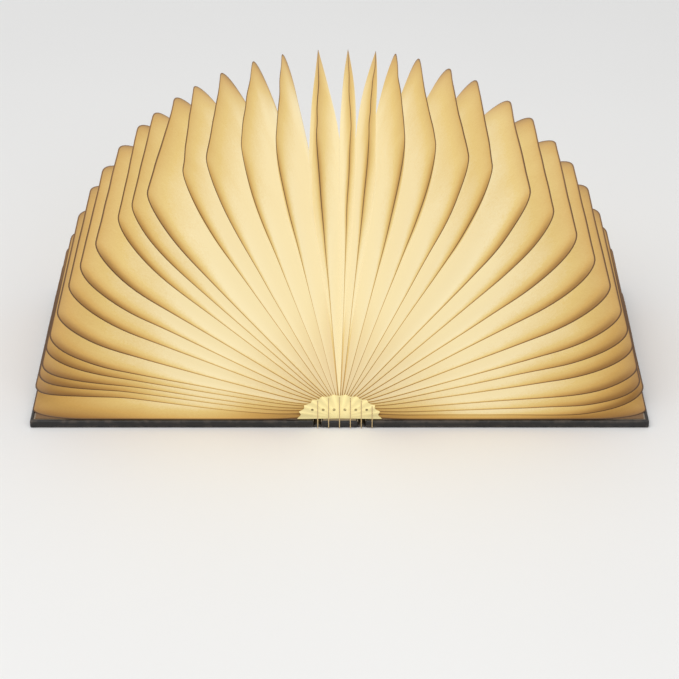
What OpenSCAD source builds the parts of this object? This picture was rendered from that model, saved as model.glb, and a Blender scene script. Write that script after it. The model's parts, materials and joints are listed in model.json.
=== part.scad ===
// Folding book lamp: a hard-cover book whose paper accordion opens into a half-round fan.
// Frame: the origin lies on the table under the middle of the spine, +X runs across the
// covers, +Y along the spine and +Z up. The book lies open flat. Millimetres.

/* [Covers] */
// Length of the covers and the spine
book_height = 180; // [150:1:240]
// From the middle of the spine to a cover's outer edge
cover_reach = 184; // [150:1:230]
// Thickness of the boards in the covers and the spine
board_t = 3.6; // [3:0.2:5]
// Thickness of the cloth wrapped round the boards
cloth_t = 0.8; // [0.4:0.1:1.2]
// Thickness of the paper pasted inside each cover
endpaper_t = 0.4; // [0.2:0.1:0.8]
// How far the endpaper stays in from the cover's edges
endpaper_margin = 3; // [1:0.5:8]
// From a hinge line to the edge of its cover board
joint_gap = 4; // [3:0.5:8]
// From the edge of the spine board to the hinge line
spine_inset = 0.5; // [0.3:0.1:1]
// Height of the hinge lines over the endpapers
hinge_rise = 0.4; // [0.2:0.1:0.8]
// Diameter of the magnets in the covers
magnet_d = 10; // [6:1:14]
// Thickness of the magnets
magnet_t = 2; // [1:0.5:2.5]
// From a magnet's centre to the cover's edges
magnet_inset = 14; // [12:1:30]

/* [Pages] */
// Pages on each side of the fan
page_count = 17; // [9:1:19]
// How far the pages' short edges stay in from the ends of the covers
page_end_margin = 2; // [1:0.5:6]
// Thickness of a closed page
page_t = 0.36; // [0.3:0.02:0.5]
// Free space between two pages of the closed book
page_gap = 0.3; // [0.25:0.01:0.4]
// Radius of a page's outer corners
page_corner = 13; // [6:1:26]
// How far the closed pages stay below the covers' edges
page_margin = 0; // [0:0.5:6]
// Free space between the outermost page and its closed cover
closed_clear = 0.8; // [0.5:0.1:1.5]
// Lean of the lowest page over its cover, in degrees
first_page_angle = 1.2; // [1:0.2:6]
// Lean of the highest page on the left side, in degrees
left_top_angle = 85.7; // [82:0.1:88]
// Lean of the highest page on the right side, in degrees
right_top_angle = 88.2; // [82:0.1:89]
// How far the fan sags towards the covers, in degrees
page_sag = 58; // [0:1:60]
// How far the upper part of the left side sags further, in degrees
left_upper_sag = 50; // [0:1:55]
// Unevenness of the pages' spacing, in degrees
page_wobble = 0.7; // [0:0.1:1]

/* [Valley folds] */
// Depth of a valley behind the pages' long outer edges
valley_depth = 48; // [30:1:70]
// Depth of a valley behind the pages' two short edges
valley_end_depth = 46; // [30:1:60]
// Thickness of the paper of the valley folds
fold_t = 0.35; // [0.3:0.05:0.6]

/* [Spine ends] */
// Width of the gathered ends of the folds
fold_end_w = 50; // [44:1:60]
// Height of the gathered ends over the endpapers
fold_end_h = 16.4; // [12.4:0.1:19]
// Thickness of the gathered ends
fold_end_t = 1.2; // [0.8:0.1:2]
// How far the gathered ends lie in from the pages' short edges
fold_recess = 0.6; // [0.6:0.1:12]
// Number of scallops along a gathered end's rim
scallops = 11; // [7:2:17]
// Depth of the scallops
scallop_depth = 0.7; // [0.3:0.1:1.2]
// Binding threads at each end
thread_count = 6; // [4:2:8]
// Distance between two binding threads
thread_pitch = 6.45; // [5:0.05:7]
// Diameter of the binding thread
thread_d = 0.6; // [0.4:0.1:0.9]
// Diameter of the thread holes
thread_hole_d = 1.2; // [1:0.1:1.6]
// Height of the thread holes over the endpapers
thread_hole_rise = 6; // [2:0.1:7]

/* [Light bar] */
// Steepness of the line from the bar's middle to the lowest page's root, in degrees
root_angle = 18; // [14:1:24]
// Height of the lowest page's root over the endpapers
root_rise = 2.2; // [1.8:0.1:3]
// Free space between the pages' roots and the binding band
root_gap = 0.5; // [0.4:0.05:0.7]
// Thickness of the binding band
band_t = 0.6; // [0.4:0.1:0.8]
// Thickness of the diffuser
diffuser_t = 0.8; // [0.6:0.1:1]
// Wall thickness of the light channel
channel_t = 1; // [0.8:0.1:1.2]
// Height of the light channel's side walls
channel_h = 2.5; // [2.2:0.1:3]
// Width of the board that carries the lights
led_board_w = 9.4; // [8:0.1:9.4]
// Thickness of the board that carries the lights
led_board_t = 0.8; // [0.6:0.1:1]
// Height of the posts under that board
post_h = 5; // [4.9:0.05:5]
// Diameter of the posts
post_d = 4.6; // [4:0.1:5]
// Distance between two lights
led_pitch = 6.8; // [6:0.1:6.8]
// Length, width and height of a light
led_size = [2, 3, 0.7];
// From the end of that board to the first light's middle, at least
led_margin = 4.2; // [4:0.1:8]
// Diameter of the screws in the posts
screw_d = 1.6; // [1.2:0.1:2]
// Diameter of the screw heads
screw_head_d = 3.2; // [2.6:0.1:3.2]
// Length, width and height of the battery
battery_size = [59, 13, 3.9];
// Length, width and thickness of the charging board
charge_board_size = [35, 13, 1];
// Depth, width and height of the charging socket
socket_size = [7.3, 8.94, 3.2];

/* [Fits] */
// Free space round soft pieces
soft_gap = 0.3; // [0.25:0.05:0.35]
// Play of a piece in its pocket or opening
fit_gap = 0.15; // [0.1:0.05:0.2]

/* [Hidden] */
$fn = 64;
black_cloth = [0.05, 0.045, 0.04];
cardboard = [0.45, 0.36, 0.26];
brown_paper = [0.42, 0.29, 0.16];
lit_paper = [0.95, 0.83, 0.55];
cream_cloth = [0.96, 0.9, 0.74];
white_plastic = [0.93, 0.92, 0.88];
green_board = [0.1, 0.35, 0.2];
steel = [0.75, 0.75, 0.77];

board_top = cloth_t + board_t;
inside_z = board_top + endpaper_t;
hinge_z = inside_z + hinge_rise;
page_pitch = page_t + page_gap;
lowest_root_x = (page_count - 0.5) * page_pitch;
hinge_reach = lowest_root_x + page_t / 2 + closed_clear - hinge_rise;
spine_half = hinge_reach - spine_inset;
board_start = hinge_reach + joint_gap;
board_end = cover_reach - cloth_t;
board_half = book_height / 2 - cloth_t;
closed_top = hinge_z + cover_reach - hinge_reach - page_margin;

// The page roots lie on a circle round the light bar.
root_r = lowest_root_x / cos(root_angle);
bar_z = inside_z + root_rise - root_r * sin(root_angle);
band_r = root_r - root_gap;
diffuser_r = band_r - band_t - soft_gap;
diffuser_inner_r = diffuser_r - diffuser_t;

page_half = book_height / 2 - page_end_margin;
fold_end_y = page_half - fold_recess;
band_half = fold_end_y - fold_end_t / 2 - soft_gap;
channel_half = band_half - channel_t;
notch_u = 15;
notch_run = 11;
edge_trim = 0.5;
fold_corner_steps = 4;
valley_round = 8;
valley_drop = 6;
valley_start = [3, 6];

channel_floor = board_top + channel_t;
channel_top = board_top + channel_h;
channel_half_w = sqrt(pow(diffuser_r, 2) - pow(channel_top - bar_z, 2));
led_board_z = channel_floor + post_h;
led_top = led_board_z + led_board_t;
led_board_half = channel_half - 2 * channel_t;

// The lights keep their pitch, and the posts stand between them on both sides of the battery.
led_pairs = floor((led_board_half - led_margin) / led_pitch + 0.5);
near_post = 1 - led_pairs;
middle_post = near_post + ceil((battery_size[0] + post_d + 2 * fit_gap) / led_pitch);
far_post = led_pairs - 2;
post_y = [for (s = [near_post, middle_post, far_post]) s * led_pitch];
screw_head_h = 0.9;
screw_l = 4;
battery_y = (post_y[0] + post_y[1]) / 2;
rib_t = 2;
rib_share = 0.4;
charge_rise = 0.5;
chip_size = [5, 5, 1];
sensor_size = [3, 4, 1.2];
sensor_x = -4;
charge_board_y = channel_half - charge_board_size[0] / 2;
charge_top = channel_floor + charge_rise + charge_board_size[2];
socket_wall = 0.3;
socket_back_t = 1;
tongue_share = 0.7;
socket_stand_out = 0.2;
socket_mouth_y = fold_end_y + fold_end_t / 2 + socket_stand_out;
socket_y = socket_mouth_y - socket_size[0] / 2;
thread_top_drop = 2;
leg_y = fold_end_y + fold_end_t / 2 + soft_gap + thread_d / 2;
outer_leg_y = book_height / 2 + soft_gap + thread_d / 2;
thread_z = inside_z + soft_gap + thread_d / 2;

SIDES = ["left", "right"];
PAGES = [for (i = [1:page_count]) i];
function page_name(side, i) = str(side, "_page_", i < 10 ? "0" : "", i);

// Page 1 lies next to its cover, and the last page stands in the middle of the fan.
right_wobble_step = 137;
left_wobble_step = 101;
function height_share(i) = (i - 1) / (page_count - 1);
function lower_sag(u) = page_sag * u * pow(1 - u, 2);
function upper_sag(u) = left_upper_sag * pow(u, 4) * (1 - u);
function wobble(i, u, step) = 4 * page_wobble * u * (1 - u) * sin(i * step);
function lean(i, top, step) =
    first_page_angle + (top - first_page_angle) * height_share(i)
    - lower_sag(height_share(i)) + wobble(i, height_share(i), step);
function page_lean(side, i) =
    side == "right"
    ? lean(i, right_top_angle, right_wobble_step)
    : lean(i, left_top_angle, left_wobble_step) - upper_sag(height_share(i));
function root_x(i) = (page_count - i + 0.5) * page_pitch;
function root_z(i) = bar_z + sqrt(pow(root_r, 2) - pow(root_x(i), 2));
function page_len(i) = closed_top - root_z(i);

// A page's place: its root's x and z, its direction in the fan and its length.
function place(side, i) =
    side == "right"
    ? [root_x(i), root_z(i), page_lean(side, i), page_len(i)]
    : [-root_x(i), root_z(i), 180 - page_lean(side, i), page_len(i)];
fan = concat([for (i = PAGES) place("right", i)],
             [for (i = PAGES) place("left", page_count + 1 - i)]);

// A point u along a page, v along the spine and n off the page's face.
function on_page(p, u, v, n) =
    [p[0] + u * cos(p[2]) - n * sin(p[2]), v, p[1] + u * sin(p[2]) + n * cos(p[2])];

// Mirrors its children to the left side.
module on_side(side) {
    if (side == "left") mirror([1, 0, 0]) children();
    else children();
}

module both_ends() {
    children();
    mirror([0, 1, 0]) children();
}

// A block from x0 to x1 and z0 to z1, centred on y.
module slab(x0, x1, half_y, z0, z1) {
    translate([x0, -half_y, z0]) cube([x1 - x0, 2 * half_y, z1 - z0]);
}

// ---- covers and spine ----

module cover_magnet_places() {
    both_ends()
        translate([cover_reach - magnet_inset, book_height / 2 - magnet_inset, board_top])
            children();
}

module cover_board(side) {
    color(cardboard) on_side(side) difference() {
        slab(board_start, board_end, board_half, cloth_t, board_top);
        cover_magnet_places()
            translate([0, 0, -magnet_t - fit_gap])
                cylinder(d = magnet_d + 2 * fit_gap, h = magnet_t + 2 * fit_gap);
    }
}

module magnets(side) {
    color(steel) on_side(side)
        cover_magnet_places()
            translate([0, 0, -magnet_t - fit_gap]) cylinder(d = magnet_d, h = magnet_t);
}

module cover_cloth(side) {
    color(black_cloth) on_side(side) difference() {
        slab(board_start, cover_reach, book_height / 2, 0, board_top);
        slab(board_start - cloth_t, board_end, board_half, cloth_t, board_top + cloth_t);
    }
}

module endpaper(side) {
    color(brown_paper) on_side(side)
        slab(board_start, cover_reach - endpaper_margin, book_height / 2 - endpaper_margin,
             board_top, inside_z);
}

module hinge_cloth(side) {
    color(black_cloth) on_side(side)
        slab(spine_half, board_start - soft_gap, book_height / 2, 0, cloth_t);
}

module spine_board() {
    color(cardboard) slab(-spine_half, spine_half, board_half, cloth_t, board_top);
}

module spine_cloth() {
    color(black_cloth) difference() {
        slab(-spine_half, spine_half, book_height / 2, 0, board_top);
        slab(-spine_half - cloth_t, spine_half + cloth_t, board_half,
             cloth_t, board_top + cloth_t);
    }
}

// ---- light bar ----

// A half-round tube along the spine, standing on z0.
module bar_shell(outer, inner, half_y, z0) {
    difference() {
        translate([0, half_y, bar_z]) rotate([90, 0, 0]) cylinder(r = outer, h = 2 * half_y);
        translate([0, half_y + 1, bar_z]) rotate([90, 0, 0])
            cylinder(r = inner, h = 2 * half_y + 2);
        slab(-outer - 1, outer + 1, half_y + 1, bar_z - outer - 1, z0);
    }
}

module binding_band() {
    color(cream_cloth) bar_shell(band_r, band_r - band_t, band_half, board_top);
}

module diffuser() {
    color(white_plastic) bar_shell(diffuser_r, diffuser_inner_r, channel_half, channel_top);
}

module post_places() {
    for (y = post_y) translate([0, y, 0]) children();
}

module light_channel() {
    color(white_plastic) difference() {
        union() {
            difference() {
                slab(-channel_half_w, channel_half_w, channel_half, board_top, channel_top);
                slab(channel_t - channel_half_w, channel_half_w - channel_t,
                     channel_half - channel_t, channel_floor, channel_top + 1);
            }
            post_places() translate([0, 0, channel_floor]) cylinder(d = post_d, h = post_h);
            for (step = [-rib_share, rib_share])
                translate([0, charge_board_y + step * charge_board_size[0], channel_floor])
                    slab(-charge_board_size[1] / 3, charge_board_size[1] / 3, rib_t / 2,
                         0, charge_rise);
        }
        post_places() translate([0, 0, led_board_z - screw_l]) cylinder(d = screw_d, h = post_h);
        charging_cutout();
    }
}

module led_board() {
    color(green_board) difference() {
        slab(-led_board_w / 2, led_board_w / 2, led_board_half, led_board_z, led_top);
        post_places() translate([0, 0, led_board_z - 1])
            cylinder(d = screw_d + 2 * fit_gap, h = led_board_t + 2);
    }
}

module leds() {
    color([1, 0.85, 0.5])
        for (i = [-led_pairs:led_pairs - 1])
            translate([0, (i + 0.5) * led_pitch, led_top])
                slab(-led_size[1] / 2, led_size[1] / 2, led_size[0] / 2, 0, led_size[2]);
}

module channel_screws() {
    color(steel) post_places() {
        translate([0, 0, led_top - screw_l]) cylinder(d = screw_d, h = screw_l);
        translate([0, 0, led_top]) difference() {
            cylinder(d = screw_head_d, h = screw_head_h);
            translate([-screw_head_d, -screw_d / 8, screw_head_h / 2])
                cube([2 * screw_head_d, screw_d / 4, screw_head_h]);
        }
    }
}

module battery() {
    color([0.7, 0.72, 0.75]) translate([0, battery_y, channel_floor])
        slab(-battery_size[1] / 2, battery_size[1] / 2, battery_size[0] / 2, 0, battery_size[2]);
}

module charge_board() {
    color(green_board) difference() {
        union() {
            translate([0, charge_board_y - channel_t - fit_gap, charge_top])
                slab(-charge_board_size[1] / 2, charge_board_size[1] / 2,
                     charge_board_size[0] / 2, -charge_board_size[2], 0);
            translate([0, charge_board_y - charge_board_size[0] / 4, charge_top])
                slab(0, chip_size[0], chip_size[1] / 2, 0, chip_size[2]);
        }
        post_places() cylinder(d = post_d + 4 * fit_gap, h = charge_top + 2);
    }
}

module lid_sensor() {
    color([0.12, 0.12, 0.12])
        translate([sensor_x, charge_board_y - charge_board_size[0] / 4, charge_top])
            slab(-sensor_size[0] / 2, sensor_size[0] / 2, sensor_size[1] / 2, 0, sensor_size[2]);
}

// The socket's outline seen from its mouth: a slot with round ends.
module socket_outline(grow) {
    r = socket_size[2] / 2 + grow;
    reach = socket_size[1] / 2 - socket_size[2] / 2;
    translate([-reach, -r]) square([2 * reach, 2 * r]);
    for (x = [-reach, reach]) translate([x, 0]) circle(r);
}

module along_socket(y0, y1) {
    translate([0, y1, charge_top + socket_size[2] / 2]) rotate([90, 0, 0])
        linear_extrude(y1 - y0) children();
}

module charging_cutout() {
    along_socket(channel_half - 2 * channel_t, socket_mouth_y + 1) socket_outline(fit_gap);
}

module charge_socket() {
    back = socket_y - socket_size[0] / 2;
    color(steel) {
        difference() {
            along_socket(back, socket_mouth_y) socket_outline(0);
            along_socket(back + socket_back_t, socket_mouth_y + 1) socket_outline(-socket_wall);
        }
        along_socket(back + socket_back_t, socket_mouth_y - socket_back_t)
            square([socket_size[1] * tongue_share, socket_wall * 2], center = true);
    }
}

// ---- gathered ends of the folds, and the threads ----

// The half-ellipse of a gathered end with its scalloped rim.
function rim_point(a) =
    let (grow = 1 - scallop_depth / fold_end_h * (1 - abs(sin(a * scallops))))
    [fold_end_w / 2 * cos(a) * grow, fold_end_h * sin(a) * grow];
rim_steps = 8 * scallops;

module fold_end_blank() {
    translate([0, fold_end_y + fold_end_t / 2, inside_z + soft_gap]) rotate([90, 0, 0])
        linear_extrude(fold_end_t)
            difference() {
                polygon([for (k = [0:rim_steps]) rim_point(180 * k / rim_steps)]);
                for (k = [0:thread_count - 1])
                    translate([(k - (thread_count - 1) / 2) * thread_pitch, thread_hole_rise])
                        circle(d = thread_hole_d);
            }
}

module near_fold_end() {
    color(cream_cloth) mirror([0, 1, 0]) fold_end_blank();
}

module far_fold_end() {
    color(cream_cloth) difference() {
        fold_end_blank();
        charging_cutout();
    }
}

function thread_x(k) = (k + 1 - thread_count / 2) * thread_pitch;
function rim_height(x) = fold_end_h * sqrt(1 - pow(2 * x / fold_end_w, 2));

module thread(x) {
    top = inside_z + rim_height(x) - thread_top_drop;
    translate([x, leg_y, thread_z]) {
        cylinder(d = thread_d, h = top - thread_z, $fn = 16);
        sphere(d = thread_d, $fn = 16);
        rotate([-90, 0, 0]) cylinder(d = thread_d, h = outer_leg_y - leg_y, $fn = 16);
    }
    translate([x, outer_leg_y, thread_z]) {
        sphere(d = thread_d, $fn = 16);
        translate([0, 0, soft_gap - thread_z])
            cylinder(d = thread_d, h = thread_z - soft_gap, $fn = 16);
    }
}

// The far end's middle thread gives way to the charging socket.
module binding_threads() {
    color(cream_cloth) {
        for (k = [0:thread_count - 1]) mirror([0, 1, 0]) thread(thread_x(k));
        for (k = [0:thread_count - 1])
            if (abs(thread_x(k)) > (socket_size[1] + thread_d) / 2) thread(thread_x(k));
    }
}

// ---- pages ----

// A point of the far outer corner's arc, from the short edge to the long edge.
function corner_point(length, share) =
    [length - page_corner * (1 - sin(90 * share)),
     page_half - page_corner * (1 - cos(90 * share))];

module page_outline(length) {
    polygon([
        [0, -band_half], [notch_u, -band_half], [notch_u + notch_run, -page_half],
        [length - page_corner, -page_half], [length, page_corner - page_half],
        [length, page_half - page_corner], [length - page_corner, page_half],
        [notch_u + notch_run, page_half], [notch_u, band_half], [0, band_half]
    ]);
    for (s = [-1, 1])
        translate([length - page_corner, s * (page_half - page_corner)]) circle(page_corner);
}

module page(side, i) {
    color(lit_paper) on_side(side)
        translate([root_x(i), 0, root_z(i)]) rotate([0, -page_lean(side, i), 0])
            translate([0, 0, -page_t / 2]) linear_extrude(page_t) page_outline(page_len(i));
}

// Half of the path of a valley fold, from the near root to the middle of the outer edge:
// each entry is a ridge point and its valley point, both as [u, v] on the page.
function fold_path(length) =
    let (u0 = notch_u, v0 = -band_half + edge_trim,
         uc = length - valley_depth, vc = valley_end_depth - page_half,
         run = notch_run, top = edge_trim - page_half)
    concat(
        [[[u0, v0], [u0, v0 + valley_start[0]]],
         [[u0 + run, top], [u0 + run, v0 + valley_start[1]]]],
        [for (k = [0:fold_corner_steps])
            let (share = k / fold_corner_steps, ridge = corner_point(length - edge_trim, share))
            [[ridge[0], edge_trim - ridge[1]],
             [uc - valley_round * (1 - share), vc + valley_drop * share]]]
    );
function mirrored(path) =
    [for (k = [len(path) - 1:-1:0])
        [[path[k][0][0], -path[k][0][1]], [path[k][1][0], -path[k][1][1]]]];
function whole_path(length) = concat(fold_path(length), mirrored(fold_path(length)));

// The corners of a valley fold's section between pages a and b.
section_corners = 6;
function fold_section(a, b, pa, pb) =
    let (off = page_t / 2 + soft_gap,
         ra = on_page(a, pa[0][0], pa[0][1], off),
         rb = on_page(b, pb[0][0], pb[0][1], -off),
         deep = (on_page(a, pa[1][0], pa[1][1], 0) + on_page(b, pb[1][0], pb[1][1], 0)) / 2,
         share = min(2 * fold_t / norm(rb - ra), 0.5),
         middle = (ra + rb) / 2)
    [ra, deep, rb,
     rb + (middle - rb) * share, deep + (middle - deep) * share, ra + (middle - ra) * share];

module valley_fold(a, b) {
    path_a = whole_path(a[3]);
    path_b = whole_path(b[3]);
    last = len(path_a) - 1;
    points = [for (k = [0:last]) each fold_section(a, b, path_a[k], path_b[k])];
    n = section_corners;
    walls = [for (k = [0:last - 1]) for (c = [0:n - 1])
        let (p = n * k + c, q = n * k + (c + 1) % n)
        each [[p, q, q + n], [p, q + n, p + n]]];
    end = n * last;
    caps = [[0, 5, 4], [0, 4, 1], [1, 4, 3], [1, 3, 2],
            [end, end + 4, end + 5], [end, end + 1, end + 4],
            [end + 1, end + 3, end + 4], [end + 1, end + 2, end + 3]];
    polyhedron(points, concat(walls, caps));
}

module valley_folds() {
    color(lit_paper)
        for (k = [0:len(fan) - 2]) valley_fold(fan[k], fan[k + 1]);
}

// ---- assembly ----

spine_board();
spine_cloth();
light_channel();
diffuser();
led_board();
leds();
channel_screws();
battery();
charge_board();
charge_socket();
lid_sensor();
binding_band();
near_fold_end();
far_fold_end();
binding_threads();
valley_folds();
for (s = SIDES) {
    hinge_cloth(s);
    cover_board(s);
    cover_cloth(s);
    endpaper(s);
    magnets(s);
    for (i = PAGES)
        page(s, i);
}
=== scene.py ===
import json
import math

import bmesh
import bpy
from mathutils import Matrix, Vector, noise


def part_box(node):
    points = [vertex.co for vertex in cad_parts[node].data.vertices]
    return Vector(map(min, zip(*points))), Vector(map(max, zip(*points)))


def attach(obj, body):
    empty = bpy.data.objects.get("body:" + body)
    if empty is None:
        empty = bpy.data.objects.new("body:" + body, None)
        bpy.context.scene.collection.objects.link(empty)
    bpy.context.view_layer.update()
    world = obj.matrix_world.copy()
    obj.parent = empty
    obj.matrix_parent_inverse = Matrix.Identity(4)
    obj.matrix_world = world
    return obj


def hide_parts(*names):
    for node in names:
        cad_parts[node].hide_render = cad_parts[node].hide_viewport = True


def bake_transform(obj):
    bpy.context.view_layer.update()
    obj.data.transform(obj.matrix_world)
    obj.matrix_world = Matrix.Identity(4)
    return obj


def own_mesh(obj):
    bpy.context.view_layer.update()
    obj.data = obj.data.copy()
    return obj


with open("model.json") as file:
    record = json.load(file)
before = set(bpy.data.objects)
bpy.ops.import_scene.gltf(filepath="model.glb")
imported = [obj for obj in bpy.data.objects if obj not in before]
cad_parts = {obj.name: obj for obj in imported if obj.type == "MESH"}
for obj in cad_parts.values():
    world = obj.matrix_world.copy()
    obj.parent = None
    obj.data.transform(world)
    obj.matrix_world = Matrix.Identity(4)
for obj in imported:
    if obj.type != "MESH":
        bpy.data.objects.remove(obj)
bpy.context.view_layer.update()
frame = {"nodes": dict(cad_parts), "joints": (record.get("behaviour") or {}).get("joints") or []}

# The frame is in metres, and the sizes below are written in millimetres.
MM = 0.001
SIDES = ("left", "right")
PAGE_COUNT = 17

# Half of the folds' length along the spine, how far a ridge reaches past its solid plate, and
# half of what a page's thickness comes down to in the closed book.
PAGE_HALF = 88 * MM
PAGE_OVERHANG = 2.0 * MM
PAPER = 0.15 * MM
# How roundly a leaf swells between its ridge and its valley: below 1 it stays slim.
LEAF_PUFF = 2.3
SLIM_PUFF = 0.9
# The length that one unit of a page's fold map stands for.
FOLD_MAP_SPAN = 80 * MM
# The light in a whole page, what the highest pages gain, what one page differs from the next,
# and what a page gains half-way out.
PAGE_GLOW = 0.985
TOP_GAIN = 0.065
PAGE_UNEVENNESS = 0.02
MIDDLE_GAIN = 0.06
# The share of the light that is lost at the outer edge of the high and of the low pages, at
# the far tips, at the roots of the lowest pages, and beside the near corners.
HIGH_EDGE_DIM = 0.06
LOW_EDGE_DIM = 0.40
FAR_TIP_DIM = 0.34
FOOT_DIM = 0.34
CORNER_DIM = 0.42
# A leaf that faces its cover gets painted shade, darker than one that faces the middle, most of all
# at its root.
LOWER_LEAF_GLOW = 0.92
HUB_DIM = 0.34
# The leaf pasted on a cover: its height over the endpaper, where the next leaf meets it, its
# margin, how far its inner edge is drawn in, its light and what is lost at its outer edge and
# near corner.
PASTED_RISE = 0.17 * MM
PASTE_LEVEL = 0.35 * MM
PASTED_MARGIN = 0.4 * MM
PASTED_DRAW = 6 * MM
PASTED_GLOW = 1.09
PASTED_LEAF_DIM = 0.42
PASTED_CORNER_DIM = 0.3
# How far a corner is rounded along the page and along the spine.
NEAR_CORNER = (46 * MM, 30 * MM)
FAR_CORNER = (42 * MM, 28 * MM)
PASTED_CORNER = (32 * MM, 12 * MM)
# A valley's long stretch lies this far inside the ridge and ends this far from the middle of
# the spine. Its ends are rounded outwards and drawn in along the spine.
VALLEY_DEPTH = 48 * MM
VALLEY_END = 42 * MM
VALLEY_ROUND = 8 * MM
VALLEY_DRAW = 6 * MM
# How far a ridge starts behind the gathered end's face, and a valley behind the ridge, how far
# out the ridge reaches its full length, and how far it is tucked in under the end's rim.
RIDGE_INSET = 1.8 * MM
VALLEY_INSET = 3 * MM
RIM_RUN = 22 * MM
RIM_TUCK = 2.5 * MM
# Mesh steps along a page's near edge, round a corner, along half of its long edge and from its
# ridge to its valley.
NEAR_STEPS, CORNER_STEPS, LONG_STEPS, LEAF_STEPS = 26, 14, 12, 9

# The covers' cloth and the roundness of its edges. The cloth of the joints, its groove, and how
# far it lies over the table.
COVER_CLOTH = 0.35 * MM
COVER_EDGE_ROUND = 0.9 * MM
JOINT_CLOTH = 0.6 * MM
JOINT_GROOVE = 0.9 * MM
JOINT_RISE = 0.1 * MM

# The gathered ends: half of their width, their height, their faces' distance from the middle,
# their wall, and the depth and number of their pleats.
FOLD_END_HALF = 25 * MM
FOLD_END_HEIGHT = 16.4 * MM
FOLD_END_FACE = 88.0 * MM
FOLD_END_WALL = 0.8 * MM
PLEAT_RELIEF = 0.45 * MM
SCALLOPS = 11
# The holes punched in them, which reach this far out, and the play round the charging socket.
HOLE_RISE = 6.0 * MM
HOLE_RADIUS = 0.6 * MM
HOLE_SPAN = 18 * MM
SOCKET_PLAY = 0.3 * MM
CUTTER_LENGTH = 8 * MM
# The threads: how far their tops lie under the rim, and where they run down the cover's edge.
THREAD_PITCH = 6.45 * MM
THREAD_COUNT = 6
THREAD_D = 0.6 * MM
THREAD_UNDER_RIM = 2 * MM
THREAD_EDGE = 90.6 * MM
THREAD_PLIES = 3
PLY_PITCH = 1.1 * MM


# ---- node helpers ----

def node(tree, kind, inputs=None, **settings):
    """A node with its settings, each input a value or another node's output."""
    made = tree.nodes.new(kind)
    for key, value in settings.items():
        setattr(made, key, value)
    for key, value in (inputs or {}).items():
        if isinstance(value, bpy.types.NodeSocket):
            tree.links.new(value, made.inputs[key])
        else:
            made.inputs[key].default_value = value
    return made


def calc(tree, operation, *values, clamp=False):
    return node(tree, "ShaderNodeMath", dict(enumerate(values)),
                operation=operation, use_clamp=clamp).outputs[0]


def step_between(tree, value, start, end, low=0.0, high=1.0):
    """Rises smoothly from low to high as the value goes from start to end."""
    return node(tree, "ShaderNodeMapRange",
                {"Value": value, "From Min": start, "From Max": end,
                 "To Min": low, "To Max": high},
                interpolation_type="SMOOTHSTEP").outputs[0]


def tint(tree, share, first, second, mode="MIX"):
    """Two colours mixed by a share."""
    mix = node(tree, "ShaderNodeMix", data_type="RGBA", blend_type=mode)
    for index, value in ((0, share), (6, first), (7, second)):
        if isinstance(value, bpy.types.NodeSocket):
            tree.links.new(value, mix.inputs[index])
        else:
            mix.inputs[index].default_value = value
    return mix.outputs[2]


def cloud(tree, place, scale, detail=3.0, distortion=0.0, roughness=0.5):
    return node(tree, "ShaderNodeTexNoise",
                {"Vector": place, "Scale": scale, "Detail": detail,
                 "Roughness": roughness, "Distortion": distortion}).outputs["Fac"]


def new_group(name, inputs, outputs):
    """An empty node group with named sockets, and its input and output nodes."""
    group = bpy.data.node_groups.new(name, "ShaderNodeTree")
    for label, kind, value in inputs:
        socket = group.interface.new_socket(label, in_out="INPUT", socket_type=kind)
        socket.default_value = value
    for label, kind in outputs:
        group.interface.new_socket(label, in_out="OUTPUT", socket_type=kind)
    return group, group.nodes.new("NodeGroupInput"), group.nodes.new("NodeGroupOutput")


def use_group(tree, group, inputs=None):
    return node(tree, "ShaderNodeGroup", inputs, node_tree=group)


def own_place(tree):
    return node(tree, "ShaderNodeTexCoord").outputs["Object"]


# ---- effects that several finishes share ----

def fibre_group():
    """Matted paper fibres: a shade round 1 and a height for the bump."""
    group, given, out = new_group(
        "paper_fibres",
        [("Fineness", "NodeSocketFloat", 420.0), ("Contrast", "NodeSocketFloat", 0.06)],
        [("Shade", "NodeSocketFloat"), ("Height", "NodeSocketFloat")])
    place = own_place(group)
    fine = cloud(group, place, given.outputs["Fineness"], 5.0, 2.2, 0.6)
    broad = cloud(group, place, 22.0, 2.0, 0.6)
    strands = node(group, "ShaderNodeTexVoronoi",
                   {"Vector": place, "Scale": given.outputs["Fineness"]},
                   feature="DISTANCE_TO_EDGE").outputs["Distance"]
    mixed = calc(group, "ADD", calc(group, "MULTIPLY", fine, 0.6),
                 calc(group, "MULTIPLY", broad, 0.4))
    swing = calc(group, "MULTIPLY", calc(group, "SUBTRACT", mixed, 0.5),
                 calc(group, "MULTIPLY", given.outputs["Contrast"], 4.0))
    group.links.new(calc(group, "ADD", swing, 1.0), out.inputs["Shade"])
    group.links.new(calc(group, "ADD", fine, calc(group, "MULTIPLY", strands, 0.5)),
                    out.inputs["Height"])
    return group


def grain_group():
    """Pebbled bookcloth grain: a shade round 1 and a height for the bump."""
    group, given, out = new_group(
        "cloth_grain", [("Fineness", "NodeSocketFloat", 900.0)],
        [("Shade", "NodeSocketFloat"), ("Height", "NodeSocketFloat")])
    place = own_place(group)
    pebbles = node(group, "ShaderNodeTexVoronoi",
                   {"Vector": place, "Scale": given.outputs["Fineness"], "Randomness": 0.85},
                   feature="SMOOTH_F1").outputs["Distance"]
    broad = cloud(group, place, 35.0, 4.0, 0.4)
    group.links.new(step_between(group, broad, 0.3, 0.7, 0.8, 1.25), out.inputs["Shade"])
    group.links.new(calc(group, "MULTIPLY", pebbles, -1.0), out.inputs["Height"])
    return group


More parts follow.
